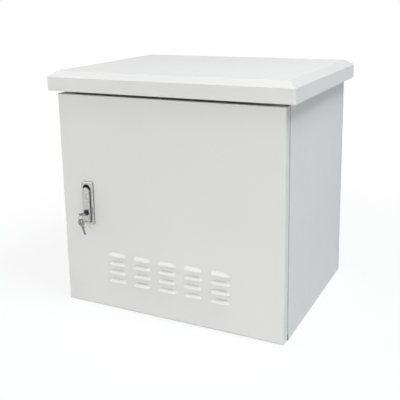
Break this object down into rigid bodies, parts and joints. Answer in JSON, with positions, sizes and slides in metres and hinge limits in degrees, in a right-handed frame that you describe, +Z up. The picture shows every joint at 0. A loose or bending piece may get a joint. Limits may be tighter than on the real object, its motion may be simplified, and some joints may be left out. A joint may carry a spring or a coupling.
{
  "type": "outdoor utility cabinet",
  "caption": "Folded sheet-steel roadside cabinet with an overhanging rain roof, a louvred hinged door, a keyed lever lock and a rack frame inside.",
  "frame": {"origin": "middle of the carcass's underside", "axes": "+X right seen from the front, +Y towards the rear, +Z up"},
  "size_m": [0.646, 0.5382, 0.608],
  "materials": {
    "powder_coat": "satin light grey powder coat with a fine texture",
    "zinc_plate": "bright zinc plate",
    "galvanised": "galvanised sheet",
    "satin_chrome": "satin chrome on cast zinc",
    "lock_black": "matt black moulding",
    "lock_steel": "dark plated steel",
    "key_steel": "nickel plate",
    "seal_rubber": "matt black rubber",
    "filter_foam": "open-cell filter foam",
    "earth_brass": "plain brass"
  },
  "bodies": {
    "carcass": {"side_panel_left": "powder_coat", "side_panel_right": "powder_coat", "rear_panel": "powder_coat", "top_panel": "powder_coat", "base_panel": "powder_coat", "roof": "powder_coat", "roof_spacers": "zinc_plate", "roof_bolts": "zinc_plate", "roof_nuts": "zinc_plate", "gland_plate": "powder_coat", "gland_gasket": "seal_rubber", "gland_nuts": "zinc_plate", "cable_grommets": "seal_rubber", "depth_bar_lower_left": "galvanised", "depth_bar_lower_right": "galvanised", "depth_bar_upper_left": "galvanised", "depth_bar_upper_right": "galvanised", "rack_rail_front_left": "galvanised", "rack_rail_front_right": "galvanised", "rack_rail_rear_left": "galvanised", "rack_rail_rear_right": "galvanised", "rail_bolts": "zinc_plate", "rail_nuts": "zinc_plate", "earth_stud": "earth_brass", "earth_nut": "earth_brass", "hinge_arm_upper": "zinc_plate", "hinge_arm_lower": "zinc_plate", "hinge_screws": "zinc_plate", "hinge_nuts": "zinc_plate"},
    "door": {"door_panel": "powder_coat", "door_seal": "seal_rubber", "filter_frame": "galvanised", "filter_mat": "filter_foam", "filter_nuts": "zinc_plate", "hinge_bracket_upper": "zinc_plate", "hinge_bracket_lower": "zinc_plate", "hinge_pin_upper": "zinc_plate", "hinge_pin_lower": "zinc_plate", "lock_plate": "satin_chrome", "lock_gasket": "seal_rubber", "lock_base": "lock_black", "lock_clamp": "zinc_plate", "lock_screws": "zinc_plate"},
    "turn": {"lock_spindle": "satin_chrome", "latch_tongue": "zinc_plate", "tongue_screw": "zinc_plate"},
    "lever": {"lever": "satin_chrome", "lever_pin": "zinc_plate", "lock_barrel": "lock_steel"},
    "key": {"lock_plug": "lock_steel", "key": "key_steel", "key_ring": "key_steel", "spare_key": "key_steel"}
  },
  "joints": [
    {"name": "door_swing", "type": "hinge", "parent": "carcass", "child": "door", "pos_m": [0.292, -0.2408, 0.2775], "axis": [0, 0, 1], "range_deg": [0, 120]},
    {"name": "lever_turn", "type": "hinge", "parent": "door", "child": "turn", "pos_m": [-0.2235, -0.2528, 0.2325], "axis": [0, 1, 0], "range_deg": [0, 90]},
    {"name": "lever_lift", "type": "hinge", "parent": "turn", "child": "lever", "pos_m": [-0.2235, -0.26045, 0.2325], "axis": [1, 0, 0], "range_deg": [0, 30]},
    {"name": "key_turn", "type": "hinge", "parent": "lever", "child": "key", "pos_m": [-0.2235, -0.2649, 0.2535], "axis": [0, 1, 0], "range_deg": [0, 90]}
  ]
}
